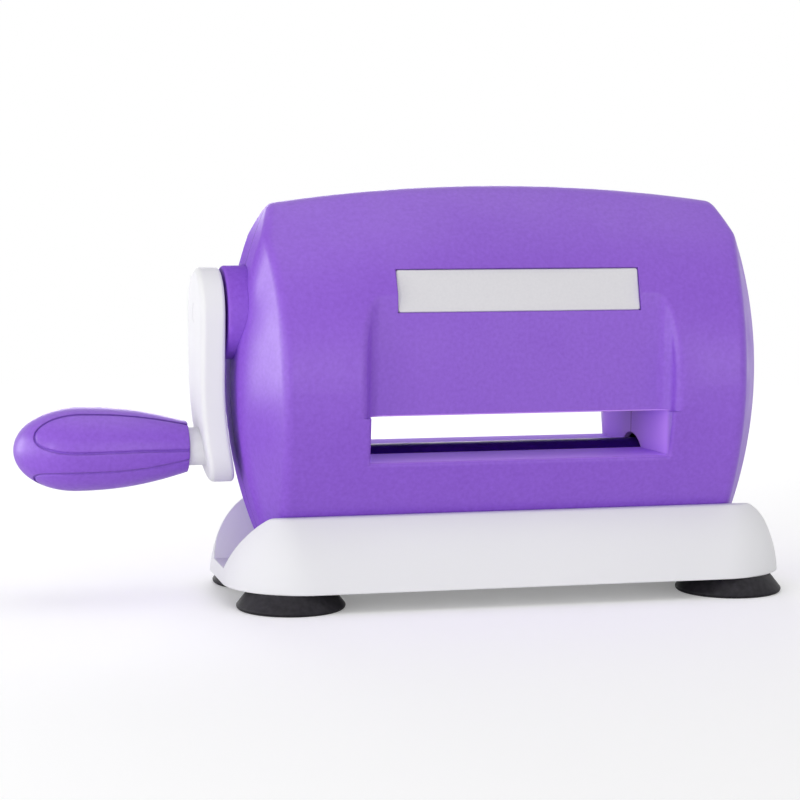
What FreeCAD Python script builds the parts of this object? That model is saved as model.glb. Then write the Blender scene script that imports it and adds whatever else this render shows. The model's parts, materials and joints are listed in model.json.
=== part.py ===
import FreeCAD
import Part
import math
import os

from FreeCAD import Vector

# Hand-cranked die cutting machine. X runs along the rollers with the crank on -X,
# -Y is the feed side, +Z is up and z = 0 is the table under the suction cups.

# Driving dimensions in millimetres and degrees
WALL = 3.0
RUNNING_GAP = 0.05

# Barrel housing: side profile, arched top and domed ends
BARREL_HALF_DEPTH = 45.0
BARREL_RADIUS = 104.0
BARREL_MID_Z = 90.0
HOUSING_TOP_Z = 173.0
HOUSING_BOTTOM_Z = 14.0
ARCH_RADIUS = 690.0
BARREL_REACH = 130.0
CRANK_END_X = 116.0
PLAIN_END_X = 112.2
END_MID_Z = 92.0
END_FLAT_HALF = 14.0
END_BEND_RADIUS = 9.0
END_SLOPE = 28.0
END_FRONT_RADIUS = 180.0
CREASE_RADIUS = 5.0

# Feed tunnel and its mouths
TUNNEL_HALF_MID = 61.5
FRONT_MOUTH_HALF = 65.0
REAR_MOUTH_HALF = 61.5
MOUTH_Y = 44.0
TUNNEL_FLOOR_Z = 60.3
TUNNEL_CEILING_Z = 79.2
DUCT_WALL = 2.5

# Flat panel sunk into the bulged face above each mouth
PANEL_Y = 37.0
PANEL_HALF_FLOOR = 64.0
PANEL_HALF_RIM = 67.5
PANEL_RIM_Y = 46.0
PANEL_TOP_Z = 135.0
PANEL_SOFT_RADIUS = 7.0
POCKET_RIM_RADIUS = 4.0
MOUTH_RIM_RADIUS = 1.5

# Name plate
PLATE_HALF = 52.3
PLATE_LOW_Z = 121.9
PLATE_HIGH_Z = 139.2
PLATE_LOW_Y = 36.6
PLATE_HIGH_Y = 31.8
PLATE_THICK = 1.6
PLATE_GAP = 0.15

# Rollers and shafts
ROLLER_RADIUS = 11.0
ROLLER_HALF = 69.0
LOWER_HOLE_RADIUS = 13.4
UPPER_HOLE_RADIUS = 11.4
LOWER_Z = 52.2
UPPER_Z = 86.2
CRANK_Z = 120.2
JOURNAL_RADIUS = 6.0
LOWER_JOURNAL_LEFT = 86.5
UPPER_JOURNAL_LEFT = 95.5
JOURNAL_RIGHT = 80.0

# Gears
MODULE = 2.0
PRESSURE_ANGLE = 25.0
BACKLASH = 0.22
PINION_TEETH = 13
DRIVE_TEETH = 21
SYNC_TEETH = 17
SYNC_X = (-84.0, -76.0)
DRIVE_X = (-94.0, -86.0)
HUB_RADIUS = 9.0
TOOTH_RISE = 0.95
TOOTH_DEPTH = 1.2
CLIP_RADIUS = 8.5
CLIP_THICK = 1.2

# Inner frame
FRAME_X = 70.0
FRAME_THICK = 3.0
BUSH_RADIUS = 8.5
BUSH_INNER_X = 69.4
BUSH_OUTER_X = 74.5
TIE_RADIUS = 3.0
TIE_PLACES = ((0.0, 108.0), (-22.0, 44.0), (22.0, 44.0))
FLANGE_REACH = 15.0
FLANGE_HALF = 9.0
WAIST_HALF = 27.0
WAIST_Z = (42.0, 50.0)
SHOULDER_HALF = 15.0
SHOULDER_DROP = 12.0
CROWN_HALF = 9.0

# Crank
BOSS_RADIUS = 19.6
BOSS_OUTER_X = -119.6
BOSS_INNER_X = -104.0
BOSS_EDGE_RADIUS = 1.2
COLLAR_REACH = 1.8
COLLAR_THICK = 2.5
ARM_INNER_X = -120.8
ARM_OUTER_X = -131.2
ARM_BEND_Z = 94.0
ARM_BEND_RADIUS = 165.0
ARM_HUB_RADIUS = 19.0
ARM_END_RADIUS = 15.2
ARM_OUTER_EDGE = 2.4
ARM_INNER_EDGE = 1.6
GRIP_Z = 64.2
NECK_RADIUS = 8.0
NECK_OUTER_X = -134.2
SHAFT_INNER_X = -65.0
SHAFT_OUTER_X = -127.8

# Grip
GRIP_START_X = -134.7
GRIP_WIDE_X = -180.0
GRIP_TIP_X = -206.5
GRIP_START_RADIUS = 10.7
GRIP_WIDE_RADIUS = 17.4
GRIP_PIN_RADIUS = 4.0
GRIP_PIN_END_X = -186.0
PIN_HEAD_RADIUS = 6.0
PIN_HEAD_SUNK = 3.0
PIN_HEAD_THICK = 1.8
GRIP_ROUND = 0.56
PETALS = 4
PETAL_FIRST_ANGLE = 149.0
PETAL_SPREAD = 30.0
PETAL_TIP_X = -198.5
GROOVE_WIDTH = 0.9
GROOVE_DEPTH = 0.6

# Base cradle
BASE_LEVELS = ((8.0, 122.0, 49.5, 34.0), (24.0, 118.0, 43.5, 26.0), (37.5, 109.5, 34.2, 14.0))
CRADLE_GAP = 0.3
BASE_WALL = 3.0
RIM_RADIUS = 2.2
RIB_PLACES = (-60.0, -30.0, 0.0, 30.0, 60.0)
RIB_HALF = 1.2
RIB_TOP_Z = 31.0

# Suction cups
CUP_X = 96.0
CUP_Y = 30.5
CUP_RADIUS = 22.6
CUP_TOP_RADIUS = 17.5
CUP_HEIGHT = 8.0
CUP_RIM = 1.4
CUP_EDGE = 0.8
CUP_DISH = 4.4
CUP_STUD_RADIUS = 4.0
CUP_STUD_TOP = 17.0
CUP_BOSS_RADIUS = 9.0

# Fasteners
SCREW_RADIUS = 1.5
SCREW_HEAD_RADIUS = 3.0
SCREW_HEAD = 2.0
SHELL_SCREWS = ((-84.0, 150.0), (84.0, 150.0), (-84.0, 26.5), (84.0, 26.5))
SHELL_BOSS_RADIUS = 4.5
SHELL_SCREW_SEAT_Y = 11.0
SHELL_SCREW_END_Y = -13.0
FRAME_SCREW_X = 81.0
BASE_SCREW_X = 40.0
BOTTOM_SCREW_Y = 6.0

# Derived values
CAP_RISE = HOUSING_TOP_Z - BARREL_MID_Z
ARC_SHIFT = BARREL_RADIUS - BARREL_HALF_DEPTH
CAP_RADIUS = (BARREL_RADIUS**2 - ARC_SHIFT**2 - CAP_RISE**2) / (2 * (BARREL_RADIUS - CAP_RISE))
CAP_Z = HOUSING_TOP_Z - CAP_RADIUS
FAR = 160.0
X_AXIS = Vector(1, 0, 0)
Y_AXIS = Vector(0, 1, 0)
Z_AXIS = Vector(0, 0, 1)
FLOOR_INSIDE_Z = HOUSING_BOTTOM_Z + WALL
BASE_FLOOR_Z = HOUSING_BOTTOM_Z - BASE_WALL


def block(x0, x1, y0, y1, z0, z1):
    return Part.makeBox(x1 - x0, y1 - y0, z1 - z0, Vector(x0, y0, z0))


def rod_x(radius, x0, x1, y, z):
    return Part.makeCylinder(radius, x1 - x0, Vector(x0, y, z), X_AXIS)


def rod_y(radius, y0, y1, x, z):
    return Part.makeCylinder(radius, y1 - y0, Vector(x, y0, z), Y_AXIS)


def rod_z(radius, z0, z1, x, y):
    return Part.makeCylinder(radius, z1 - z0, Vector(x, y, z0), Z_AXIS)


def line(a, b):
    return Part.LineSegment(a, b).toShape()


def arc(a, b, c):
    return Part.Arc(a, b, c).toShape()


def face_of(edges):
    return Part.Face(Part.Wire(edges))


def polygon(points):
    return Part.Face(Part.makePolygon(list(points) + [points[0]]))


def joined(shapes):
    first, *rest = shapes
    return first.multiFuse(rest).removeSplitter() if rest else first


def mirrored_y(shape):
    return shape.mirror(Vector(0, 0, 0), Y_AXIS)


def mirrored_x(shape):
    return shape.mirror(Vector(0, 0, 0), X_AXIS)


# Barrel housing

def barrel_edges(grow, bottom_z):
    """Side profile in the plane x = 0, offset by grow: edges below mid height, then those above."""
    radius = BARREL_RADIUS + grow
    low_y = math.sqrt(radius**2 - (BARREL_MID_Z - bottom_z) ** 2) - ARC_SHIFT
    half_z = (BARREL_MID_Z + bottom_z) / 2
    half_y = math.sqrt(radius**2 - (BARREL_MID_Z - half_z) ** 2) - ARC_SHIFT
    lean = (CAP_Z - BARREL_MID_Z) / (BARREL_RADIUS - CAP_RADIUS)
    high_z = BARREL_MID_Z + radius * lean
    high_y = radius * math.sqrt(1 - lean**2) - ARC_SHIFT
    upper_z = BARREL_MID_Z + radius * lean / 2
    upper_y = radius * math.sqrt(1 - lean**2 / 4) - ARC_SHIFT
    wide_y = BARREL_HALF_DEPTH + grow
    rows = [(low_y, bottom_z), (half_y, half_z), (wide_y, BARREL_MID_Z), (upper_y, upper_z), (high_y, high_z)]
    low, half, wide, upper, high = [[Vector(0, s * y, z) for s in (-1, 1)] for y, z in rows]
    top = Vector(0, 0, HOUSING_TOP_Z + grow)
    below = [arc(wide[1], half[1], low[1]), line(low[1], low[0]), arc(low[0], half[0], wide[0])]
    above = [arc(wide[0], upper[0], high[0]), arc(high[0], top, high[1]), arc(high[1], upper[1], wide[1])]
    return below, above


def barrel_face(grow, bottom_z):
    below, above = barrel_edges(grow, bottom_z)
    return face_of(above + below)


def arched_barrel(grow, bottom_z):
    """The barrel, straight below mid height, with its upper half lowered towards both ends."""
    below, above = barrel_edges(grow, bottom_z)
    wires = []
    for step in range(-2, 3):
        x = step * BARREL_REACH / 2
        drop = ARCH_RADIUS - math.sqrt(ARCH_RADIUS**2 - x**2)
        press = FreeCAD.Matrix()
        press.move(Z_AXIS * -BARREL_MID_Z)
        press.scale(1, 1, 1 - drop / CAP_RISE)
        press.move(Vector(x, 0, BARREL_MID_Z))
        edges = [e.transformGeometry(press) for e in above] + [e.translated(X_AXIS * x) for e in below]
        wires.append(Part.Wire(Part.__sortEdges__(edges)))
    return Part.makeLoft(wires, True, False)


def channel(grow, bottom_z):
    """The side profile carried straight along X."""
    return barrel_face(grow, bottom_z).extrude(X_AXIS * 2 * FAR).translated(X_AXIS * -FAR)


def end_waste(summit, grow):
    """Everything beyond a left end whose flat middle bends into sloping facets, arched in front view."""
    summit_x = -(summit + grow)
    axis = Vector(summit_x + END_FRONT_RADIUS + grow, 0, END_MID_Z)
    slope = math.radians(END_SLOPE)
    bend = END_BEND_RADIUS + grow
    flat_y = END_FLAT_HALF
    bend_y = flat_y + bend * math.sin(slope)
    bend_x = summit_x + bend * (1 - math.cos(slope))
    half_y = flat_y + bend * math.sin(slope / 2)
    half_x = summit_x + bend * (1 - math.cos(slope / 2))
    side_y = BARREL_HALF_DEPTH + 8
    side_x = bend_x + (side_y - bend_y) * math.tan(slope)
    rows = [(side_x, side_y), (bend_x, bend_y), (half_x, half_y), (summit_x, flat_y), (axis.x - 10, side_y)]
    side, low, half, top, inner = [
        [Vector(x, s * y, END_MID_Z) for s in (-1, 1)] for x, y in rows
    ]
    plan = face_of([
        line(inner[0], side[0]), line(side[0], low[0]), arc(low[0], half[0], top[0]),
        line(top[0], top[1]),
        arc(top[1], half[1], low[1]), line(low[1], side[1]), line(side[1], inner[1]),
        line(inner[1], inner[0]),
    ])
    swing = 60
    plan.rotate(axis, Y_AXIS, -swing)
    dome = plan.revolve(axis, Y_AXIS, 2 * swing)
    return block(-FAR, -70, -side_y + 1, side_y - 1, 0, HOUSING_TOP_Z + 10).cut(dome)


def housing_body(grow, bottom_z):
    """The closed housing form, offset by grow: the arched barrel with domed ends."""
    crank_end = end_waste(CRANK_END_X, grow)
    plain_end = mirrored_x(end_waste(PLAIN_END_X, grow))
    return arched_barrel(grow, bottom_z).cut(crank_end).cut(plain_end)


def softened_housing():
    body = housing_body(0, HOUSING_BOTTOM_Z)
    creases = [
        e for e in body.Edges
        if abs(e.CenterOfMass.x) > 90 and e.CenterOfMass.z > HOUSING_BOTTOM_Z + 5
    ]
    return body.makeFillet(CREASE_RADIUS, creases)


def flared_prism(half_mid, half_mouth, z0, z1):
    """A prism along the feed direction, from the parting plane out past the front face."""
    points = [
        Vector(-half_mid, 0, z0), Vector(half_mid, 0, z0),
        Vector(half_mouth, -MOUTH_Y, z0), Vector(half_mouth, -FAR / 2, z0),
        Vector(-half_mouth, -FAR / 2, z0), Vector(-half_mouth, -MOUTH_Y, z0),
    ]
    return polygon(points).extrude(Vector(0, 0, z1 - z0))


def panel_prism(grow):
    """The pocket above the mouth: a flat upright floor with sloping side walls."""
    floor_y = -PANEL_Y + grow
    half_floor = PANEL_HALF_FLOOR + grow
    half_rim = PANEL_HALF_RIM + grow
    slope = (half_rim - half_floor) / (PANEL_RIM_Y - PANEL_Y)
    half_out = half_rim + slope * 20
    points = [
        Vector(-half_floor, floor_y, TUNNEL_CEILING_Z), Vector(half_floor, floor_y, TUNNEL_CEILING_Z),
        Vector(half_out, -PANEL_RIM_Y - 20 + grow, TUNNEL_CEILING_Z),
        Vector(-half_out, -PANEL_RIM_Y - 20 + grow, TUNNEL_CEILING_Z),
    ]
    prism = polygon(points).extrude(Vector(0, 0, PANEL_TOP_Z - TUNNEL_CEILING_Z))
    corners = [
        e for e in prism.Edges
        if abs(e.CenterOfMass.y - floor_y) < 0.1 and abs(abs(e.CenterOfMass.x) - half_floor) < 0.1
    ]
    return prism.makeFillet(PANEL_SOFT_RADIUS, corners)


def plate_block(gap, front, back):
    """A slab on the name plate's tilted plane, from front to back measured inwards from its face."""
    low = Vector(0, -PLATE_LOW_Y, PLATE_LOW_Z)
    high = Vector(0, -PLATE_HIGH_Y, PLATE_HIGH_Z)
    along = (high - low).normalize()
    inward = along.cross(X_AXIS).normalize()
    start = low - along * gap + inward * front - X_AXIS * (PLATE_HALF + gap)
    length = (high - low).Length + 2 * gap
    sides = [X_AXIS * 2 * (PLATE_HALF + gap), along * length]
    slab = polygon([start, start + sides[0], start + sides[0] + sides[1], start + sides[1]])
    return slab.extrude(inward * (back - front))


def rim_edges(shape, skin, low_z, high_z):
    """Edges of the openings on the -Y side, between two heights, that lie on the uncut skin."""
    found = []
    for e in shape.Edges:
        middle = e.CenterOfMass
        near = abs(middle.x) < PANEL_HALF_RIM + 4 and middle.y < -PANEL_Y / 2
        if not near or not low_z < middle.z < high_z:
            continue
        span = e.LastParameter - e.FirstParameter
        spots = [Part.Vertex(e.valueAt(e.FirstParameter + span * share)) for share in (0.2, 0.5, 0.8)]
        if all(skin.distToShape(spot)[0] < 0.001 for spot in spots):
            found.append(e)
    return found


def opened_front(body, mouth_half):
    """The housing with the pocket and slot on its -Y side, their outer edges rounded over."""
    skin = body.Shells[0]
    pocketed = body.cut(panel_prism(0))
    rims = rim_edges(pocketed, skin, TUNNEL_CEILING_Z + 1, PANEL_TOP_Z)
    pocketed = pocketed.makeFillet(POCKET_RIM_RADIUS, rims)
    opened = pocketed.cut(flared_prism(TUNNEL_HALF_MID, mouth_half, TUNNEL_FLOOR_Z, TUNNEL_CEILING_Z))
    lips = rim_edges(opened, skin, TUNNEL_FLOOR_Z - 1, TUNNEL_CEILING_Z - 1)
    return opened.makeFillet(MOUTH_RIM_RADIUS, lips)


def half_shell(body, cavity, mouth_half):
    """One half of the housing, on the -Y side, with its half of the feed tunnel."""
    half = block(-FAR, FAR, -FAR, 0, 0, 2 * FAR)
    duct_z = (TUNNEL_FLOOR_Z - DUCT_WALL, TUNNEL_CEILING_Z + DUCT_WALL)
    duct = flared_prism(TUNNEL_HALF_MID + DUCT_WALL, mouth_half + DUCT_WALL, *duct_z)
    panel_back = panel_prism(WALL)
    bosses = [rod_y(SHELL_BOSS_RADIUS, -FAR / 2, 0, x, z) for x, z in SHELL_SCREWS]
    posts = [
        rod_z(SHELL_BOSS_RADIUS, HOUSING_BOTTOM_Z, FLOOR_INSIDE_Z + 8, x, -BOTTOM_SCREW_Y)
        for x in (-BASE_SCREW_X, BASE_SCREW_X)
    ]
    inside = joined([duct, panel_back] + bosses + posts).common(body)
    shell = joined([body.cut(cavity), inside]).common(half)
    shell = shell.cut(flared_prism(TUNNEL_HALF_MID, mouth_half, TUNNEL_FLOOR_Z, TUNNEL_CEILING_Z))
    for radius, z in ((LOWER_HOLE_RADIUS, LOWER_Z), (UPPER_HOLE_RADIUS, UPPER_Z)):
        shell = shell.cut(rod_x(radius, -FRAME_X, FRAME_X, 0, z))
    shell = shell.cut(rod_x(BOSS_RADIUS, -FAR, BOSS_INNER_X, 0, CRANK_Z))
    holes = [
        rod_z(SCREW_RADIUS, 0, FLOOR_INSIDE_Z + 7, s * x, -BOTTOM_SCREW_Y)
        for s in (-1, 1) for x in (BASE_SCREW_X, FRAME_SCREW_X)
    ]
    return shell.cut(joined(holes))


def front_shell(shell, body):
    backing = plate_block(WALL, -2, PLATE_THICK + WALL).common(body)
    shell = joined([shell, backing]).cut(plate_block(PLATE_GAP, -20, PLATE_THICK))
    for x, z in SHELL_SCREWS:
        shell = shell.cut(rod_y(SCREW_RADIUS, SHELL_SCREW_END_Y - 1, 0, x, z))
    return shell


def rear_shell(shell):
    shell = mirrored_y(shell)
    for x, z in SHELL_SCREWS:
        shell = shell.cut(rod_y(SCREW_RADIUS, 0, FAR, x, z))
        shell = shell.cut(rod_y(SCREW_HEAD_RADIUS + 0.3, SHELL_SCREW_SEAT_Y, FAR, x, z))
    return shell


def name_plate():
    return plate_block(0, 0, PLATE_THICK)


# Base cradle

def rounded_wire(half_x, half_y, radius, z):
    edges = []
    turn = radius * (1 - math.sqrt(0.5))
    for sx, sy in ((1, 1), (-1, 1), (-1, -1), (1, -1)):
        side = Vector(sx * half_x, sy * (half_y - radius), z)
        end = Vector(sx * (half_x - radius), sy * half_y, z)
        middle = Vector(sx * (half_x - turn), sy * (half_y - turn), z)
        pair = (side, end) if sx * sy > 0 else (end, side)
        edges.append(arc(pair[0], middle, pair[1]))
    links = []
    for n, edge in enumerate(edges):
        links.append(edge)
        after = edges[(n + 1) % 4]
        links.append(line(edge.lastVertex(True).Point, after.firstVertex(True).Point))
    return Part.Wire(Part.__sortEdges__(links))


def boat(inset):
    wires = []
    for n, (z, half_x, half_y, radius) in enumerate(BASE_LEVELS):
        drop = inset if n == len(BASE_LEVELS) - 1 else 0
        wires.append(rounded_wire(half_x - inset, half_y - inset, radius - inset, z - drop))
    return Part.makeLoft(wires, True, False)


def base_cradle():
    cut = channel(CRADLE_GAP, HOUSING_BOTTOM_Z)
    hollow = boat(BASE_WALL).cut(channel(CRADLE_GAP + BASE_WALL, BASE_FLOOR_Z))
    outside = boat(0)
    top_z = BASE_LEVELS[-1][0]
    outside = outside.makeFillet(RIM_RADIUS, [e for e in outside.Edges if e.BoundBox.ZMin > top_z - 0.1])
    base = outside.cut(cut).cut(hollow)
    bosses = [
        rod_z(CUP_BOSS_RADIUS, CUP_HEIGHT, BASE_LEVELS[-1][0], sx * CUP_X, sy * CUP_Y)
        for sx in (-1, 1) for sy in (-1, 1)
    ]
    ribs = [
        block(x - RIB_HALF, x + RIB_HALF, -FAR, FAR, CUP_HEIGHT + 1, RIB_TOP_Z)
        for x in RIB_PLACES
    ]
    inside = joined(bosses + ribs).common(boat(BASE_WALL / 2)).cut(channel(CRADLE_GAP + 1, BASE_FLOOR_Z + 1))
    base = joined([base, inside])
    holes = [
        rod_z(SCREW_RADIUS + 0.2, 0, FLOOR_INSIDE_Z, sx * x, sy * BOTTOM_SCREW_Y)
        for sx in (-1, 1) for sy in (-1, 1) for x in (BASE_SCREW_X, FRAME_SCREW_X)
    ]
    studs = [
        rod_z(CUP_STUD_RADIUS, 0, CUP_STUD_TOP, sx * CUP_X, sy * CUP_Y)
        for sx in (-1, 1) for sy in (-1, 1)
    ]
    return base.cut(joined(holes)).cut(joined(studs))


def suction_cup(x, y):
    """A hollow rubber skirt with a flat sealing rim, and the stud that plugs into the base."""
    rim = CUP_RADIUS - CUP_EDGE
    inner = rim - CUP_RIM
    skirt_z = 2 * CUP_EDGE
    edge_bulge = Vector(CUP_RADIUS - CUP_EDGE / 8, 0, skirt_z * 0.4)
    points = [
        Vector(0, 0, 0), Vector(0, 0, CUP_STUD_TOP), Vector(CUP_STUD_RADIUS, 0, CUP_STUD_TOP),
        Vector(CUP_STUD_RADIUS, 0, CUP_HEIGHT), Vector(CUP_TOP_RADIUS, 0, CUP_HEIGHT),
        Vector(CUP_RADIUS, 0, skirt_z),
    ]
    edges = [line(a, b) for a, b in zip(points, points[1:])]
    edges.append(arc(points[-1], edge_bulge, Vector(rim, 0, 0)))
    edges.append(line(Vector(rim, 0, 0), points[0]))
    cup = face_of(edges).revolve(Vector(0, 0, 0), Z_AXIS, 360)
    dish_radius = (inner**2 + CUP_DISH**2) / (2 * CUP_DISH)
    dish = Part.makeSphere(dish_radius, Vector(0, 0, CUP_DISH - dish_radius))
    return cup.cut(dish).translated(Vector(x, y, 0))


# Gear train

def involute(angle):
    return math.tan(angle) - angle


def gear(teeth, x_range, y, z, tooth_angle, bore):
    """A spur gear about an X axis, with one tooth centred on tooth_angle, measured from +Y towards +Z."""
    pitch = MODULE * teeth / 2
    pressure = math.radians(PRESSURE_ANGLE)
    base = pitch * math.cos(pressure)
    tip = pitch + TOOTH_RISE * MODULE
    root = pitch - TOOTH_DEPTH * MODULE
    half_at_pitch = (math.pi * MODULE / 2 - BACKLASH) / (2 * pitch)
    start = max(base, root)
    radii = [start + (tip - start) * n / 4 for n in range(5)]

    def half_tooth(radius):
        return half_at_pitch + involute(pressure) - involute(math.acos(min(1, base / radius)))

    def place(radius, angle):
        return Vector(0, y + radius * math.cos(angle), z + radius * math.sin(angle))

    def flank(middle, side):
        points = [place(r, middle + side * half_tooth(r)) for r in radii]
        curve = Part.BSplineCurve()
        curve.interpolate(points)
        foot = place(root, middle + side * half_tooth(start))
        edges = [curve.toShape()]
        if root < start:
            edges.append(line(foot, points[0]))
        return edges

    step = 2 * math.pi / teeth
    edges = []
    for n in range(teeth):
        middle = math.radians(tooth_angle) + n * step
        edges += flank(middle, -1) + flank(middle, 1)
        tip_half = half_tooth(tip)
        foot_half = half_tooth(start)
        edges.append(arc(place(tip, middle - tip_half), place(tip, middle), place(tip, middle + tip_half)))
        edges.append(arc(
            place(root, middle + foot_half),
            place(root, middle + step / 2),
            place(root, middle + step - foot_half),
        ))
    outline = Part.Face(Part.Wire(Part.__sortEdges__(edges)))
    wheel = outline.extrude(X_AXIS * (x_range[1] - x_range[0])).translated(X_AXIS * x_range[0])
    return wheel.cut(rod_x(bore, x_range[0] - 1, x_range[1] + 1, y, z))


def roller(z, left_x):
    parts = [
        rod_x(ROLLER_RADIUS, -ROLLER_HALF, ROLLER_HALF, 0, z),
        rod_x(JOURNAL_RADIUS, -left_x, -ROLLER_HALF, 0, z),
        rod_x(JOURNAL_RADIUS, ROLLER_HALF, JOURNAL_RIGHT, 0, z),
    ]
    return joined(parts)


def ring(outer, inner, x0, x1, z):
    return rod_x(outer, x0, x1, 0, z).cut(rod_x(inner, x0, x1, 0, z))


def clip_pair(z, left_x):
    """Retaining rings near both ends of a roller's journals."""
    right_x = BUSH_OUTER_X + 1
    right = ring(CLIP_RADIUS, JOURNAL_RADIUS, right_x, right_x + CLIP_THICK, z)
    left = ring(CLIP_RADIUS, JOURNAL_RADIUS, -left_x, -left_x + CLIP_THICK, z)
    return Part.makeCompound([left, right])


# Inner frame

def frame_plate(side, top_z, axes):
    """An upright steel plate with a foot that bolts to the housing floor."""
    x0 = FRAME_X if side > 0 else -FRAME_X - FRAME_THICK
    right = [
        (FLANGE_HALF, FLOOR_INSIDE_Z), (WAIST_HALF, WAIST_Z[0]), (WAIST_HALF, WAIST_Z[1]),
        (SHOULDER_HALF, top_z - SHOULDER_DROP), (CROWN_HALF, top_z),
    ]
    points = [Vector(x0, y, z) for y, z in right] + [Vector(x0, -y, z) for y, z in reversed(right)]
    plate = polygon(points).extrude(X_AXIS * FRAME_THICK)
    foot_x = (FRAME_X, FRAME_X + FLANGE_REACH) if side > 0 else (-FRAME_X - FLANGE_REACH, -FRAME_X)
    foot = block(*foot_x, -FLANGE_HALF, FLANGE_HALF, FLOOR_INSIDE_Z, FLOOR_INSIDE_Z + FRAME_THICK)
    plate = joined([plate, foot])
    for z in axes:
        plate = plate.cut(rod_x(BUSH_RADIUS, -FAR, FAR, 0, z))
    for y, z in TIE_PLACES:
        plate = plate.cut(rod_x(SCREW_RADIUS + 0.2, -FAR, FAR, y, z))
    for y in (-BOTTOM_SCREW_Y, BOTTOM_SCREW_Y):
        plate = plate.cut(rod_z(SCREW_RADIUS, 0, FLOOR_INSIDE_Z + 5, side * FRAME_SCREW_X, y))
    return plate


def frame_bush(side, z):
    x0, x1 = sorted((side * BUSH_INNER_X, side * BUSH_OUTER_X))
    return ring(BUSH_RADIUS, JOURNAL_RADIUS + RUNNING_GAP, x0, x1, z)


def tie_rod(y, z):
    rod = rod_x(TIE_RADIUS, -FRAME_X, FRAME_X, y, z)
    thread = 9
    for x0 in (-FRAME_X, FRAME_X - thread):
        rod = rod.cut(rod_x(SCREW_RADIUS, x0, x0 + thread, y, z))
    return rod


# Fasteners

def screw(seat, direction, length):
    """A pan-head screw whose head sits on seat and whose shank runs along direction."""
    shank = Part.makeCylinder(SCREW_RADIUS, length, seat, direction)
    head = Part.makeCylinder(SCREW_HEAD_RADIUS, SCREW_HEAD, seat, direction * -1)
    rim = [e for e in head.Edges if (e.CenterOfMass - seat).Length > SCREW_HEAD / 2]
    head = head.makeFillet(0.7, [e for e in rim if e.Closed])
    slot_at = seat - direction * (SCREW_HEAD + 1)
    drive = Part.makeCylinder(0.9, 2, slot_at, direction)
    return joined([shank, head]).cut(drive)


def shell_screws():
    length = SHELL_SCREW_SEAT_Y - SHELL_SCREW_END_Y
    return Part.makeCompound([
        screw(Vector(x, SHELL_SCREW_SEAT_Y, z), Y_AXIS * -1, length) for x, z in SHELL_SCREWS
    ])


def floor_screws(x, length):
    return Part.makeCompound([
        screw(Vector(sx * x, sy * BOTTOM_SCREW_Y, BASE_FLOOR_Z), Z_AXIS, length)
        for sx in (-1, 1) for sy in (-1, 1)
    ])


def tie_screws():
    outer = FRAME_X + FRAME_THICK
    return Part.makeCompound([
        screw(Vector(side * outer, y, z), X_AXIS * -side, FRAME_THICK + 7)
        for side in (-1, 1) for y, z in TIE_PLACES
    ])


# Crank

def bearing_boss():
    boss = rod_x(BOSS_RADIUS, BOSS_OUTER_X, BOSS_INNER_X, 0, CRANK_Z)
    outer_rim = [e for e in boss.Edges if e.Closed and abs(e.CenterOfMass.x - BOSS_OUTER_X) < 0.01]
    boss = boss.makeFillet(BOSS_EDGE_RADIUS, outer_rim)
    collar = rod_x(BOSS_RADIUS + COLLAR_REACH, BOSS_INNER_X, BOSS_INNER_X + COLLAR_THICK, 0, CRANK_Z)
    return joined([boss, collar]).cut(rod_x(HUB_RADIUS, -FAR, 0, 0, CRANK_Z))


def crank_bush():
    return ring(HUB_RADIUS, JOURNAL_RADIUS + RUNNING_GAP, BOSS_OUTER_X, BOSS_INNER_X + COLLAR_THICK, CRANK_Z)


def crank_shaft():
    shaft = rod_x(JOURNAL_RADIUS, SHAFT_OUTER_X, SHAFT_INNER_X, 0, CRANK_Z)
    return shaft.cut(rod_x(SCREW_RADIUS, SHAFT_OUTER_X, SHAFT_OUTER_X + 12, 0, CRANK_Z))


def arm_outline():
    """Lever outline in the plane x = 0: two round ends of different size joined by tangent lines."""
    span = CRANK_Z - GRIP_Z
    tilt = (ARM_HUB_RADIUS - ARM_END_RADIUS) / span
    out = math.sqrt(1 - tilt**2)
    hub, end = [
        [Vector(0, s * radius * out, z + radius * -tilt) for s in (-1, 1)]
        for radius, z in ((ARM_HUB_RADIUS, CRANK_Z), (ARM_END_RADIUS, GRIP_Z))
    ]
    return face_of([
        line(end[0], hub[0]),
        arc(hub[0], Vector(0, 0, CRANK_Z + ARM_HUB_RADIUS), hub[1]),
        line(hub[1], end[1]),
        arc(end[1], Vector(0, 0, GRIP_Z - ARM_END_RADIUS), end[0]),
    ])


def arm_shift(z):
    """How far the lever has bent towards the housing at height z."""
    drop = max(0, ARM_BEND_Z - z)
    return ARM_BEND_RADIUS - math.sqrt(ARM_BEND_RADIUS**2 - drop**2)


def arm_thickness():
    """Front view of the lever: an even thickness that curves inwards towards the grip."""
    top_z, foot_z = CRANK_Z + 30, GRIP_Z - 30
    middle_z = (ARM_BEND_Z + foot_z) / 2

    def side(x):
        high, middle, low = [Vector(x + arm_shift(z), 0, z) for z in (ARM_BEND_Z, middle_z, foot_z)]
        return [line(Vector(x, 0, top_z), high), arc(high, middle, low)]

    caps = []
    for z in (top_z, foot_z):
        caps.append(line(Vector(ARM_INNER_X + arm_shift(z), 0, z), Vector(ARM_OUTER_X + arm_shift(z), 0, z)))
    face = face_of(Part.__sortEdges__(side(ARM_INNER_X) + side(ARM_OUTER_X) + caps))
    return face.extrude(Y_AXIS * 60).translated(Y_AXIS * -30)


def is_broad(face):
    """Whether a face of the lever is one of its two broad sides."""
    u0, u1, v0, v1 = face.ParameterRange
    return abs(face.normalAt((u0 + u1) / 2, (v0 + v1) / 2).x) > 0.9


def outer_edges(faces):
    """Edges that belong to just one of these faces."""
    edges = [e for f in faces for e in f.Edges]
    return [e for e in edges if sum(e.isSame(other) for other in edges) == 1]


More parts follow.
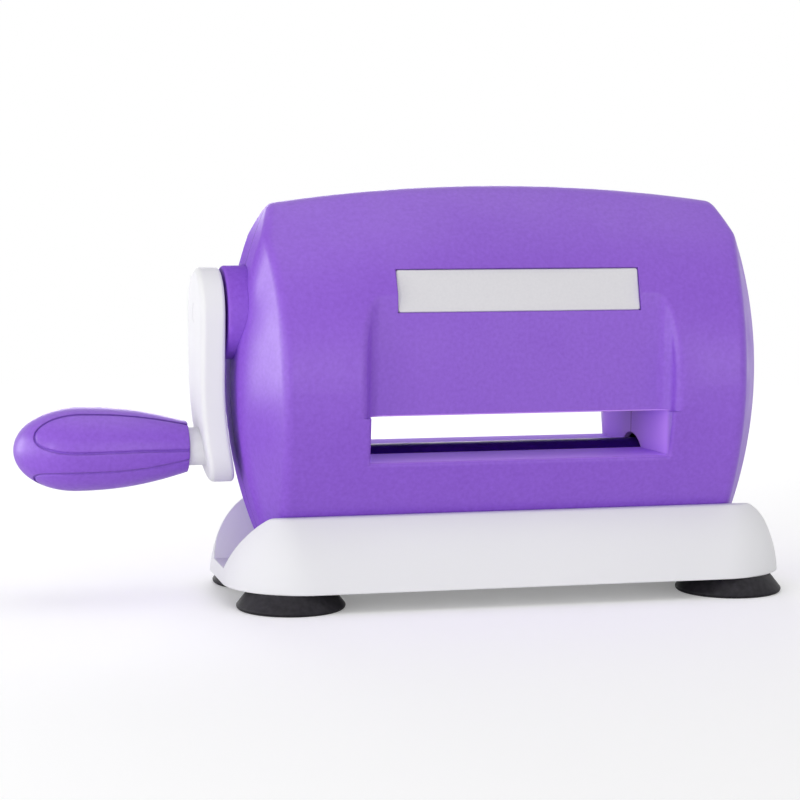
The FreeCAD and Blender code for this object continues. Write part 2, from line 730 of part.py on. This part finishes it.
def crank_arm():
    blade = arm_outline().extrude(X_AXIS * -60).translated(X_AXIS * -90)
    arm = blade.common(arm_thickness())
    middle_x = (ARM_INNER_X + ARM_OUTER_X) / 2
    for radius, side in ((ARM_OUTER_EDGE, -1), (ARM_INNER_EDGE, 1)):
        broad = [f for f in arm.Faces if is_broad(f) and side * (f.CenterOfMass.x - middle_x) > 0]
        arm = arm.makeFillet(radius, outer_edges(broad))
    bend = arm_shift(GRIP_Z)
    neck = rod_x(NECK_RADIUS, NECK_OUTER_X, ARM_OUTER_X + bend + 3, 0, GRIP_Z)
    arm = joined([arm, neck])
    arm = arm.cut(rod_x(JOURNAL_RADIUS, SHAFT_OUTER_X, -90, 0, CRANK_Z))
    arm = arm.cut(rod_x(SCREW_HEAD_RADIUS + 1, -FAR, SHAFT_OUTER_X, 0, CRANK_Z))
    arm = arm.cut(rod_x(GRIP_PIN_RADIUS, -FAR, -90, 0, GRIP_Z))
    return arm.cut(rod_x(PIN_HEAD_RADIUS, ARM_INNER_X + bend - PIN_HEAD_SUNK, -90, 0, GRIP_Z))


def arm_screw():
    return screw(Vector(SHAFT_OUTER_X, 0, CRANK_Z), X_AXIS, 11)


def arm_cap():
    return rod_x(SCREW_HEAD_RADIUS + 1, ARM_OUTER_X + 0.1, SHAFT_OUTER_X - SCREW_HEAD, 0, CRANK_Z)


def grip_pin():
    head_x = ARM_INNER_X + arm_shift(GRIP_Z) - PIN_HEAD_SUNK
    pin = rod_x(GRIP_PIN_RADIUS, GRIP_PIN_END_X, head_x, 0, GRIP_Z)
    head = rod_x(PIN_HEAD_RADIUS, head_x, head_x + PIN_HEAD_THICK, 0, GRIP_Z)
    return joined([pin, head])


def grip_form(inset):
    """Bulb-shaped handle turned about the grip pin's axis, offset inwards by inset."""
    start = Vector(GRIP_START_X, 0, GRIP_START_RADIUS - inset)
    wide = Vector(GRIP_WIDE_X, 0, GRIP_WIDE_RADIUS - inset)
    tip = Vector(GRIP_TIP_X + inset, 0, 0)
    swell = Part.BezierCurve()
    swell.setPoles([start, start + Vector(-16, 0, 4.6), wide + Vector(18, 0, 0), wide])
    nose = Part.BezierCurve()
    nose.setPoles([
        wide,
        wide + Vector((tip.x - wide.x) * GRIP_ROUND, 0, 0),
        tip + Vector(0, 0, wide.z * GRIP_ROUND),
        tip,
    ])
    foot = Vector(GRIP_START_X, 0, 0)
    half = face_of([line(foot, start), swell.toShape(), nose.toShape(), line(tip, foot)])
    return half.revolve(Vector(0, 0, 0), X_AXIS, 360).translated(Z_AXIS * GRIP_Z)


def petal_wire(grow):
    """Loop that outlines one finger panel, seen along its own radius and open at the arm end."""
    share = math.sin(math.radians(PETAL_SPREAD))
    start_x = GRIP_START_X + 4
    start_t = GRIP_START_RADIUS * share + grow
    wide_t = GRIP_WIDE_RADIUS * share + grow
    tip_x = PETAL_TIP_X - grow
    edges = []
    for s in (-1, 1):
        side = Part.BezierCurve()
        side.setPoles([
            Vector(start_x, s * start_t, 0), Vector(start_x - 18, s * (start_t + 2.0), 0),
            Vector(GRIP_WIDE_X + 16, s * wide_t, 0), Vector(GRIP_WIDE_X, s * wide_t, 0),
        ])
        nose = Part.BezierCurve()
        reach = (tip_x - GRIP_WIDE_X) * GRIP_ROUND
        nose.setPoles([
            Vector(GRIP_WIDE_X, s * wide_t, 0), Vector(GRIP_WIDE_X + reach, s * wide_t, 0),
            Vector(tip_x, s * wide_t * GRIP_ROUND, 0), Vector(tip_x, 0, 0),
        ])
        edges += [side.toShape(), nose.toShape()]
    edges.append(line(Vector(start_x, -start_t, 0), Vector(start_x, start_t, 0)))
    return Part.Wire(Part.__sortEdges__(edges))


def petal_groove(angle):
    half = GROOVE_WIDTH / 2
    outer = Part.Face(petal_wire(half)).extrude(Z_AXIS * 30)
    inner = Part.Face(petal_wire(-half)).extrude(Z_AXIS * 30)
    wall = outer.cut(inner)
    wall.rotate(Vector(0, 0, 0), X_AXIS, angle - 90)
    return wall.translated(Z_AXIS * GRIP_Z)


def crank_grip():
    grip = grip_form(0)
    skin = grip.cut(grip_form(GROOVE_DEPTH))
    for n in range(PETALS):
        grip = grip.cut(petal_groove(PETAL_FIRST_ANGLE + n * 360 / PETALS).common(skin))
    bore = rod_x(GRIP_PIN_RADIUS + RUNNING_GAP, GRIP_PIN_END_X - 1, 0, 0, GRIP_Z)
    return grip.cut(bore)


def shaft_clip():
    x0 = SHAFT_INNER_X - 2 * CLIP_THICK
    return ring(CLIP_RADIUS, JOURNAL_RADIUS, x0, x0 + CLIP_THICK, CRANK_Z)


def make_parts():
    body = softened_housing()
    cavity = housing_body(-WALL, FLOOR_INSIDE_Z)
    front = opened_front(body, FRONT_MOUTH_HALF)
    rear = opened_front(body, REAR_MOUTH_HALF)
    parts = {
        "front_shell": front_shell(half_shell(front, cavity, FRONT_MOUTH_HALF), front),
        "rear_shell": rear_shell(half_shell(rear, cavity, REAR_MOUTH_HALF)),
        "name_plate": name_plate(),
        "base_cradle": base_cradle(),
        "upper_roller": roller(UPPER_Z, UPPER_JOURNAL_LEFT),
        "lower_roller": roller(LOWER_Z, LOWER_JOURNAL_LEFT),
        "upper_roller_clips": clip_pair(UPPER_Z, UPPER_JOURNAL_LEFT),
        "lower_roller_clips": clip_pair(LOWER_Z, LOWER_JOURNAL_LEFT),
        "crank_pinion": gear(PINION_TEETH, DRIVE_X, 0, CRANK_Z, -90, JOURNAL_RADIUS),
        "upper_drive_gear": gear(DRIVE_TEETH, DRIVE_X, 0, UPPER_Z, 90 + 180 / DRIVE_TEETH, JOURNAL_RADIUS),
        "upper_sync_gear": gear(SYNC_TEETH, SYNC_X, 0, UPPER_Z, -90, JOURNAL_RADIUS),
        "lower_sync_gear": gear(SYNC_TEETH, SYNC_X, 0, LOWER_Z, 90 + 180 / SYNC_TEETH, JOURNAL_RADIUS),
        "left_frame_plate": frame_plate(-1, CRANK_Z + 16, (LOWER_Z, UPPER_Z, CRANK_Z)),
        "right_frame_plate": frame_plate(1, CRANK_Z, (LOWER_Z, UPPER_Z)),
        "crank_frame_bush": frame_bush(-1, CRANK_Z),
        "bearing_boss": bearing_boss(),
        "crank_bush": crank_bush(),
        "crank_shaft": crank_shaft(),
        "crank_shaft_clip": shaft_clip(),
        "crank_arm": crank_arm(),
        "arm_screw": arm_screw(),
        "arm_cap": arm_cap(),
        "grip_pin": grip_pin(),
        "crank_grip": crank_grip(),
        "shell_screws": shell_screws(),
        "frame_screws": floor_screws(FRAME_SCREW_X, FLOOR_INSIDE_Z + FRAME_THICK - BASE_FLOOR_Z),
        "base_screws": floor_screws(BASE_SCREW_X, FLOOR_INSIDE_Z + 6 - BASE_FLOOR_Z),
        "tie_screws": tie_screws(),
    }
    for row, z in (("upper", UPPER_Z), ("lower", LOWER_Z)):
        for word, side in (("left", -1), ("right", 1)):
            parts[f"{row}_{word}_bush"] = frame_bush(side, z)
    for word, (y, z) in zip(("top", "front", "rear"), TIE_PLACES):
        parts[f"{word}_tie_rod"] = tie_rod(y, z)
    for row, sy in (("front", -1), ("rear", 1)):
        for word, sx in (("left", -1), ("right", 1)):
            parts[f"suction_cup_{row}_{word}"] = suction_cup(sx * CUP_X, sy * CUP_Y)
    return parts


def main():
    os.makedirs("parts", exist_ok=True)
    for name, shape in make_parts().items():
        solids = shape.Solids
        print(f"{name}: {len(solids)} solids, {shape.Volume / 1000:.1f} cm3, valid {shape.isValid()}")
        whole = solids[0] if len(solids) == 1 else Part.makeCompound(solids)
        whole.exportStep(f"parts/{name}.step")


if __name__ == "__main__":
    main()
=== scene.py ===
import json
import math

import bmesh
import bpy
from mathutils import Matrix, Vector


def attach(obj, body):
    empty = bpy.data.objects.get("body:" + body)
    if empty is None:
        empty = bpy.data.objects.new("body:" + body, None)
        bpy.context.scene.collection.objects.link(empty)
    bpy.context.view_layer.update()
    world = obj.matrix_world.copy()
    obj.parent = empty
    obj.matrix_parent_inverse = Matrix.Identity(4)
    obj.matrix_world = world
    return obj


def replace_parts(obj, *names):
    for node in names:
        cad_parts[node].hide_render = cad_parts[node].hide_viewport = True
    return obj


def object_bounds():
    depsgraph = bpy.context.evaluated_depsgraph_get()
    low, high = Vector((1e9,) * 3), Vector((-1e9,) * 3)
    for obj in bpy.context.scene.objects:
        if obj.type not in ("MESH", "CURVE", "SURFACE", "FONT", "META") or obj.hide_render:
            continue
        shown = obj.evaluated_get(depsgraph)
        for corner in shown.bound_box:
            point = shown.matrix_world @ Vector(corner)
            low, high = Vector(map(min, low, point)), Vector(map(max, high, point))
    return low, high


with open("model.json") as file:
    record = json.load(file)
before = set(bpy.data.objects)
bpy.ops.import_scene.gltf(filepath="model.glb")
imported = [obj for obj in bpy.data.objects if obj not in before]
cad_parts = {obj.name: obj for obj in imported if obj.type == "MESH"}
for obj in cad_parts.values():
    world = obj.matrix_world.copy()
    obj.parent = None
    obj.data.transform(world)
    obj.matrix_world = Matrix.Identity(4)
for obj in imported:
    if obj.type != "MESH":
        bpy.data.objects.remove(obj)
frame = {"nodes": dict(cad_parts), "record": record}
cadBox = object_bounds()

print("frame loaded:", len(frame["nodes"]), "nodes")


# node helpers

# most of a noise texture's values lie in this range
noiseSpread = (0.3, 0.7)
softDetail = 2
fineDetail = 5
bevelSamples = 6


def blankMaterial(name):
    mat = bpy.data.materials.new(name)
    mat.use_nodes = True
    tree = mat.node_tree
    tree.nodes.clear()
    out = tree.nodes.new("ShaderNodeOutputMaterial")
    shader = tree.nodes.new("ShaderNodeBsdfPrincipled")
    tree.links.new(shader.outputs["BSDF"], out.inputs["Surface"])
    coords = tree.nodes.new("ShaderNodeTexCoord")
    return mat, tree, shader, coords.outputs["Object"]


def noiseOn(tree, place, scale, detail=3.0, stretch=(1, 1, 1)):
    mapping = tree.nodes.new("ShaderNodeMapping")
    mapping.inputs["Scale"].default_value = stretch
    tree.links.new(place, mapping.inputs["Vector"])
    noise = tree.nodes.new("ShaderNodeTexNoise")
    noise.inputs["Scale"].default_value = scale
    noise.inputs["Detail"].default_value = detail
    tree.links.new(mapping.outputs["Vector"], noise.inputs["Vector"])
    return noise.outputs["Fac"]


def tintBetween(tree, fac, dark, light):
    ramp = tree.nodes.new("ShaderNodeValToRGB")
    for stop, place, tone in zip(ramp.color_ramp.elements, noiseSpread, (dark, light)):
        stop.position = place
        stop.color = (*tone, 1)
    tree.links.new(fac, ramp.inputs["Fac"])
    return ramp.outputs["Color"]


def rangeBetween(tree, fac, low, high):
    span = tree.nodes.new("ShaderNodeMapRange")
    span.inputs["From Min"].default_value, span.inputs["From Max"].default_value = noiseSpread
    span.inputs["To Min"].default_value = low
    span.inputs["To Max"].default_value = high
    tree.links.new(fac, span.inputs["Value"])
    return span.outputs["Result"]


def mixNoise(tree, broad, fine, share):
    mix = tree.nodes.new("ShaderNodeMix")
    mix.inputs["Factor"].default_value = share
    tree.links.new(broad, mix.inputs["A"])
    tree.links.new(fine, mix.inputs["B"])
    return mix.outputs["Result"]


def joinMath(tree, way, first, second):
    node = tree.nodes.new("ShaderNodeMath")
    node.operation = way
    tree.links.new(first, node.inputs[0])
    if isinstance(second, float):
        node.inputs[1].default_value = second
    else:
        tree.links.new(second, node.inputs[1])
    return node.outputs["Value"]


def within(tree, value, low, high):
    above = joinMath(tree, "GREATER_THAN", value, low)
    below = joinMath(tree, "LESS_THAN", value, high)
    return joinMath(tree, "MULTIPLY", above, below)


def offCentre(tree, value):
    node = tree.nodes.new("ShaderNodeMath")
    node.operation = "ABSOLUTE"
    tree.links.new(value, node.inputs[0])
    return node.outputs["Value"]


def fadeOut(tree, value, near, far):
    fade = tree.nodes.new("ShaderNodeMapRange")
    fade.interpolation_type = "SMOOTHSTEP"
    fade.inputs["From Min"].default_value = near
    fade.inputs["From Max"].default_value = far
    fade.inputs["To Min"].default_value = 1.0
    fade.inputs["To Max"].default_value = 0.0
    tree.links.new(value, fade.inputs["Value"])
    return fade.outputs["Result"]


def recolour(tree, body, where, tone):
    mix = tree.nodes.new("ShaderNodeMix")
    mix.data_type = "RGBA"
    tree.links.new(where, mix.inputs["Factor"])
    tree.links.new(body, mix.inputs["A"])
    mix.inputs["B"].default_value = (*tone, 1)
    return mix.outputs["Result"]


def softEdges(tree, radius):
    bevel = tree.nodes.new("ShaderNodeBevel")
    bevel.samples = bevelSamples
    bevel.inputs["Radius"].default_value = radius
    return bevel.outputs["Normal"]


def raiseGrain(tree, shader, height, strength, depth, edgeRadius):
    bump = tree.nodes.new("ShaderNodeBump")
    bump.inputs["Strength"].default_value = strength
    bump.inputs["Distance"].default_value = depth
    tree.links.new(height, bump.inputs["Height"])
    tree.links.new(softEdges(tree, edgeRadius), bump.inputs["Normal"])
    tree.links.new(bump.outputs["Normal"], shader.inputs["Normal"])


# finishes

purpleShell = {
    "dark": (0.232, 0.082, 0.585), "light": (0.292, 0.116, 0.690),
    "seam": (0.06, 0.02, 0.2), "seamHalf": 0.00022, "shine": 0.42, "rough": (0.32, 0.44),
    "patchScale": 9, "mottleScale": 620, "mottleShare": 0.55, "wearScale": 60,
    "sparkScale": 2400, "sparkShare": 0.5, "bump": 0.5, "sparkDepth": 0.0001, "edge": 0.0009,
    "ductHalf": 0.0662, "ductY": (0.0365, 0.0415), "ductZ": (0.0598, 0.0797),
    # the tunnel colour below is painted light, paler to stand in for light reaching inside
    "ductPaintedLight": (0.58, 0.30, 0.98),
    "endY": (0.016, 0.0235), "endX": (-0.108, -0.098), "endFar": -0.1225, "endZ": (0.150, 0.172),
    "mattShine": 0.06, "mattRough": 0.7,
}


def purplePlastic(look):
    mat, tree, shader, place = blankMaterial("purplePlastic")
    mottle = noiseOn(tree, place, look["mottleScale"], softDetail)
    patches = mixNoise(tree, noiseOn(tree, place, look["patchScale"]), mottle, look["mottleShare"])
    body = tintBetween(tree, patches, look["dark"], look["light"])
    split = tree.nodes.new("ShaderNodeSeparateXYZ")
    tree.links.new(place, split.inputs["Vector"])
    x, y, z = (split.outputs[axis] for axis in "XYZ")
    # the feed tunnel is painted paler than the outside: painted light standing in for light that reaches
    # inside from both mouths
    depth = offCentre(tree, y)
    acrossDuct = within(tree, x, -look["ductHalf"], look["ductHalf"])
    ductSlice = joinMath(tree, "MULTIPLY", acrossDuct, within(tree, z, *look["ductZ"]))
    inDuct = joinMath(tree, "MULTIPLY", ductSlice, fadeOut(tree, depth, *look["ductY"]))
    body = recolour(tree, body, inDuct, look["ductPaintedLight"])
    # the two shells meet on the plane y = 0, which shows as a fine joint line
    onSeam = within(tree, y, -look["seamHalf"], look["seamHalf"])
    body = recolour(tree, body, onSeam, look["seam"])
    tree.links.new(body, shader.inputs["Base Color"])
    # the tunnel is duller too, and so is the flat middle of the end behind the arm
    nearMiddle = fadeOut(tree, depth, *look["endY"])
    midEnd = joinMath(tree, "MULTIPLY", nearMiddle, fadeOut(tree, z, *look["endZ"]))
    beforeGrip = joinMath(tree, "GREATER_THAN", x, look["endFar"])
    onEnd = joinMath(tree, "MULTIPLY", fadeOut(tree, x, *look["endX"]), beforeGrip)
    behindArm = joinMath(tree, "MULTIPLY", midEnd, onEnd)
    matt = joinMath(tree, "MAXIMUM", inDuct, behindArm)
    shine = tree.nodes.new("ShaderNodeMapRange")
    shine.inputs["To Min"].default_value = look["shine"]
    shine.inputs["To Max"].default_value = look["mattShine"]
    tree.links.new(matt, shine.inputs["Value"])
    tree.links.new(shine.outputs["Result"], shader.inputs["Specular IOR Level"])
    dull = tree.nodes.new("ShaderNodeMix")
    tree.links.new(matt, dull.inputs["Factor"])
    wear = noiseOn(tree, place, look["wearScale"], fineDetail)
    tree.links.new(rangeBetween(tree, wear, *look["rough"]), dull.inputs["A"])
    dull.inputs["B"].default_value = look["mattRough"]
    tree.links.new(dull.outputs["Result"], shader.inputs["Roughness"])
    sparkle = noiseOn(tree, place, look["sparkScale"], softDetail)
    spark = mixNoise(tree, sparkle, mottle, look["sparkShare"])
    raiseGrain(tree, shader, spark, look["bump"], look["sparkDepth"], look["edge"])
    return mat


mouldWear = 45


def mouldedPlastic(name, look):
    mat, tree, shader, place = blankMaterial(name)
    cloud = noiseOn(tree, place, look["cloud"])
    tree.links.new(tintBetween(tree, cloud, look["dark"], look["light"]), shader.inputs["Base Color"])
    shader.inputs["Specular IOR Level"].default_value = look["shine"]
    rough = rangeBetween(tree, noiseOn(tree, place, mouldWear, fineDetail), *look["rough"])
    tree.links.new(rough, shader.inputs["Roughness"])
    ripple = noiseOn(tree, place, look["grain"], softDetail)
    raiseGrain(tree, shader, ripple, look["bump"], look["depth"], look["edge"])
    return mat


toolMarks = {"detail": 4, "bump": 0.3, "depth": 0.00004}


def turnedMetal(name, look):
    mat, tree, shader, place = blankMaterial(name)
    shader.inputs["Metallic"].default_value = 1.0
    lines = noiseOn(tree, place, look["lines"], toolMarks["detail"], look["stretch"])
    tree.links.new(tintBetween(tree, lines, look["dark"], look["light"]), shader.inputs["Base Color"])
    tree.links.new(rangeBetween(tree, lines, *look["rough"]), shader.inputs["Roughness"])
    raiseGrain(tree, shader, lines, toolMarks["bump"], toolMarks["depth"], look["edge"])
    return mat


whiteBase = {
    "dark": (0.825, 0.825, 0.845), "light": (0.870, 0.870, 0.886), "cloud": 7, "shine": 0.05,
    "rough": (0.46, 0.52), "grain": 260, "bump": 0.08, "depth": 0.00006, "edge": 0.0008,
}
paleLabel = {
    "dark": (0.715, 0.705, 0.735), "light": (0.742, 0.732, 0.760), "cloud": 900, "shine": 0.4,
    "rough": (0.31, 0.34), "grain": 1800, "bump": 0.12, "depth": 0.00004, "edge": 0.0004,
}
blackRubber = {
    "dark": (0.010, 0.009, 0.012), "light": (0.022, 0.020, 0.025), "cloud": 420, "shine": 0.22,
    "rough": (0.50, 0.68), "grain": 1500, "bump": 0.3, "depth": 0.00008, "edge": 0.0006,
}
naturalNylon = {
    "dark": (0.66, 0.63, 0.56), "light": (0.74, 0.71, 0.64), "cloud": 60, "shine": 0.5,
    "rough": (0.38, 0.5), "grain": 900, "bump": 0.2, "depth": 0.00006, "edge": 0.0003,
}
brightShaft = {
    "dark": (0.50, 0.50, 0.52), "light": (0.66, 0.66, 0.67), "lines": 900, "stretch": (1, 0.04, 0.04),
    "rough": (0.22, 0.34), "edge": 0.0003,
}
zincSheet = {
    "dark": (0.44, 0.45, 0.47), "light": (0.60, 0.60, 0.61), "lines": 160, "stretch": (1, 1, 0.3),
    "rough": (0.34, 0.5), "edge": 0.0003,
}
# the roller's dark violet is painted shade of its recess with painted purple reflection of the tunnel
# walls, not a coating on the steel
paintedRollerShade = {
    "dark": (0.020, 0.002, 0.115), "light": (0.036, 0.004, 0.165), "cloud": 300, "shine": 0.16,
    "rough": (0.42, 0.55), "grain": 1400, "bump": 0.2, "depth": 0.00005, "edge": 0.0004,
}
sinteredBronze = {
    "dark": (0.40, 0.26, 0.13), "light": (0.60, 0.43, 0.24), "lines": 2200, "stretch": (1, 1, 1),
    "rough": (0.36, 0.5), "edge": 0.0003,
}
screwZinc = {
    "dark": (0.48, 0.48, 0.50), "light": (0.64, 0.64, 0.65), "lines": 700, "stretch": (1, 1, 1),
    "rough": (0.26, 0.40), "edge": 0.0003,
}

finishes = {
    "purple_plastic": purplePlastic(purpleShell),
    "white_plastic": mouldedPlastic("whitePlastic", whiteBase),
    "plate_plastic": mouldedPlastic("platePlastic", paleLabel),
    "cup_rubber": mouldedPlastic("cupRubber", blackRubber),
    "gear_nylon": mouldedPlastic("gearNylon", naturalNylon),
    "bright_steel": turnedMetal("shaftSteel", brightShaft),
    "plate_steel": turnedMetal("plateSteel", zincSheet),
    # the roller gets painted shade and painted purple reflection in place of bare steel
    "roller_steel": mouldedPlastic("rollerPaintedShade", paintedRollerShade),
    "bush_bronze": turnedMetal("bushBronze", sinteredBronze),
    "screw_steel": turnedMetal("screwSteel", screwZinc),
}
for entry in frame["record"]["subparts"]:
    piece = frame["nodes"][entry["node"]]
    piece.data.materials.clear()
    piece.data.materials.append(finishes[entry["material_slot"]])


# name plate: the flat slab with its edges rounded over

plateLook = {
    "corner": 0.0012, "round": 0.0005, "segments": 4,
    "weld": 1e-6, "flatAngle": 0.02, "thickest": 0.003, "sharpAngle": 1.2,
}


def roundedPlate(look):
    form = bmesh.new()
    form.from_mesh(frame["nodes"]["name_plate"].data)
    bmesh.ops.remove_doubles(form, verts=form.verts, dist=look["weld"])
    bmesh.ops.dissolve_limit(form, angle_limit=look["flatAngle"], verts=form.verts, edges=form.edges)
    # the only edges this short run through the thickness
    upright = [e for e in form.edges if e.calc_length() < look["thickest"]]
    bmesh.ops.bevel(
        form, geom=upright, offset=look["corner"], segments=look["segments"], profile=0.5,
        affect="EDGES", material=-1,
    )
    outline = [e for e in form.edges if e.calc_face_angle() > look["sharpAngle"]]
    bmesh.ops.bevel(
        form, geom=outline, offset=look["round"], segments=look["segments"], profile=0.5,
        affect="EDGES", material=-1,
    )
    mesh = bpy.data.meshes.new("bare_plate")
    form.to_mesh(mesh)
    form.free()
    plate = bpy.data.objects.new("bare_plate", mesh)
    bpy.context.collection.objects.link(plate)
    mesh.materials.append(finishes["plate_plastic"])
    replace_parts(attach(plate, "housing"), "name_plate")
    return plate


roundedPlate(plateLook)
print("name plate rounded")


# studio: pale floor, soft lamps, camera where the photograph was taken

floorLook = {"half": 1.6, "colour": (0.90, 0.90, 0.90), "rough": 0.9, "lift": 0.20, "fade": (0.34, 0.95)}


def paleFloor(look):
    form = bmesh.new()
    bmesh.ops.create_grid(form, x_segments=1, y_segments=1, size=look["half"])
    mesh = bpy.data.meshes.new("floor")
    form.to_mesh(mesh)
    form.free()
    floor = bpy.data.objects.new("floor", mesh)
    bpy.context.collection.objects.link(floor)
    mat, tree, shader, place = blankMaterial("paleFloor")
    shader.inputs["Base Color"].default_value = (*look["colour"], 1)
    shader.inputs["Roughness"].default_value = look["rough"]
    seen = tree.nodes.new("ShaderNodeLightPath")
    lift = joinMath(tree, "MULTIPLY", seen.outputs["Is Camera Ray"], look["lift"])
    shader.inputs["Emission Color"].default_value = (1, 1, 1, 1)
    tree.links.new(lift, shader.inputs["Emission Strength"])
    # the floor thins out into the white surround away from the object
    reach = tree.nodes.new("ShaderNodeVectorMath")
    reach.operation = "LENGTH"
    tree.links.new(place, reach.inputs[0])
    fade = tree.nodes.new("ShaderNodeMapRange")
    fade.interpolation_type = "SMOOTHSTEP"
    fade.inputs["From Min"].default_value, fade.inputs["From Max"].default_value = look["fade"]
    tree.links.new(reach.outputs["Value"], fade.inputs["Value"])
    clear = tree.nodes.new("ShaderNodeBsdfTransparent")
    blend = tree.nodes.new("ShaderNodeMixShader")
    tree.links.new(fade.outputs["Result"], blend.inputs["Fac"])
    tree.links.new(shader.outputs["BSDF"], blend.inputs[1])
    tree.links.new(clear.outputs["BSDF"], blend.inputs[2])
    tree.links.new(blend.outputs["Shader"], tree.nodes["Material Output"].inputs["Surface"])
    mesh.materials.append(mat)


skyLook = {"fill": 0.47}


def whiteSurround(look):
    world = bpy.data.worlds.new("surround")
    bpy.context.scene.world = world
    world.use_nodes = True
    tree = world.node_tree
    back = tree.nodes["Background"]
    seen = tree.nodes.new("ShaderNodeLightPath")
    # white where it is seen or reflected, dimmer as a light on the object
    direct = joinMath(tree, "MAXIMUM", seen.outputs["Is Camera Ray"], seen.outputs["Is Glossy Ray"])
    anyRay = joinMath(tree, "MAXIMUM", direct, seen.outputs["Is Transmission Ray"])
    level = tree.nodes.new("ShaderNodeMapRange")
    level.inputs["To Min"].default_value = look["fill"]
    level.inputs["To Max"].default_value = 1.0
    tree.links.new(anyRay, level.inputs["Value"])
    back.inputs["Color"].default_value = (1, 1, 1, 1)
    tree.links.new(level.outputs["Result"], back.inputs["Strength"])


# a gloss-only lamp puts a sheen on the left end without whitening the arm
lampLook = [
    {"name": "keyLeft", "at": (-1.15, -0.30, 0.16), "size": (0.55, 0.80), "watts": 4.6},
    {"name": "sheenLeft", "at": (-1.20, 0.36, 0.14), "size": (0.55, 0.80), "watts": 9.5, "glossOnly": True},
    {"name": "edgeStrip", "at": (-0.80, -0.90, 0.20), "size": (0.14, 0.60), "watts": 2.4},
    {"name": "topSoft", "at": (0.1, -0.1, 1.3), "size": (1.0, 1.0), "watts": 3.2},
    {"name": "frontFill", "at": (0.35, -1.35, 0.26), "size": (1.2, 0.5), "watts": 3.4},
    {"name": "backGlow", "at": (0.05, 1.1, 0.20), "size": (0.8, 0.6), "watts": 7.0},
]


def softLamps(rows):
    middle = (Vector(cadBox[0]) + Vector(cadBox[1])) / 2
    for row in rows:
        data = bpy.data.lights.new(row["name"], "AREA")
        data.shape = "RECTANGLE"
        data.size, data.size_y = row["size"]
        data.energy = row["watts"]
        lamp = bpy.data.objects.new(row["name"], data)
        bpy.context.collection.objects.link(lamp)
        lamp.location = row["at"]
        lamp.visible_diffuse = not row.get("glossOnly", False)
        lamp.rotation_euler = (middle - lamp.location).to_track_quat("-Z", "Y").to_euler()


cameraLook = {
    "turn": 13.59, "tilt": 6.14, "roll": 0.26, "aim": (0, 0, 0.075),
    "across": 0.0414, "rise": -0.0057, "away": 1.0361, "lens": 108.0, "sensor": 36.0,
}


def photoCamera(look):
    turn, tilt, roll = (math.radians(look[key]) for key in ("turn", "tilt", "roll"))
    right = Vector((math.cos(turn), -math.sin(turn), 0))
    ahead = Vector((math.sin(turn) * math.cos(tilt), math.cos(turn) * math.cos(tilt), -math.sin(tilt)))
    above = right.cross(ahead)
    spot = Vector(look["aim"]) - right * look["across"] - above * look["rise"] - ahead * look["away"]
    side = right * math.cos(roll) + above * math.sin(roll)
    crown = above * math.cos(roll) - right * math.sin(roll)
    data = bpy.data.cameras.new("photoCamera")
    data.sensor_width = look["sensor"]
    data.lens = look["lens"]
    camera = bpy.data.objects.new("photoCamera", data)
    bpy.context.collection.objects.link(camera)
    camera.matrix_world = Matrix.Translation(spot) @ Matrix((side, crown, -ahead)).transposed().to_4x4()
    bpy.context.scene.camera = camera


paleFloor(floorLook)
whiteSurround(skyLook)
softLamps(lampLook)
photoCamera(cameraLook)
bpy.context.scene.view_settings.view_transform = "Standard"
print("studio ready")
